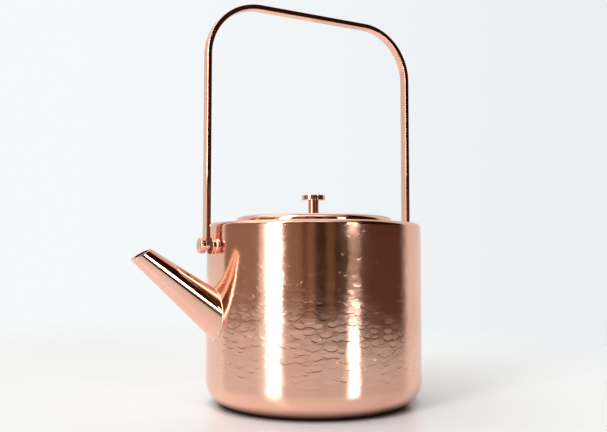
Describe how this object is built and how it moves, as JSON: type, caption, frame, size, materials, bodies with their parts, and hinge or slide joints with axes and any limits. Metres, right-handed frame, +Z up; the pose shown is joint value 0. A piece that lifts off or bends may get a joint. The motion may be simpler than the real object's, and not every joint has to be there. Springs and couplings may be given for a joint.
{
  "type": "copper kettle",
  "caption": "Cylindrical hammered copper kettle with a straight tapered spout, a flat lift-off lid with a disc knob and a tall swinging flat-bar handle.",
  "frame": {"origin": "centre of the flat underside, on the kettle's axis", "axes": "+Z up; the spout points along -X; the handle's hinge axis is parallel to X"},
  "size_m": [0.2159, 0.15, 0.274],
  "materials": {
    "copper_hammered": "hammered and polished copper",
    "copper_polished": "polished copper",
    "solder": "tinned solder, buffed with the copper",
    "brass": "plain turned brass",
    "fibre": "dark fibre washer"
  },
  "bodies": {
    "kettle": {"body_shell": "copper_hammered", "top_plate": "copper_polished", "shoulder_solder": "solder", "neck_collar": "copper_polished", "neck_solder": "solder", "spout_tube": "copper_polished", "spout_solder": "solder", "front_boss": "copper_polished", "rear_boss": "copper_polished", "front_boss_solder": "solder", "rear_boss_solder": "solder", "front_rove": "copper_polished", "rear_rove": "copper_polished", "front_pivot_washer": "fibre", "rear_pivot_washer": "fibre", "front_pivot_screw": "copper_polished", "rear_pivot_screw": "copper_polished"},
    "handle": {"handle_bail": "copper_polished"},
    "lid": {"lid_cover": "copper_polished", "lid_skirt": "copper_polished", "lid_solder": "solder", "knob_disc": "copper_polished", "knob_stem": "copper_polished", "knob_washer": "brass", "knob_nut": "brass"}
  },
  "joints": [
    {"name": "handle_swing", "type": "hinge", "parent": "kettle", "child": "handle", "pos_m": [0, 0, 0.1073], "axis": [1, 0, 0], "range_deg": [-127, 127]},
    {"name": "lid_lift", "type": "slide", "parent": "kettle", "child": "lid", "axis": [0, 0, 1], "range_m": [0, 0.08]}
  ]
}
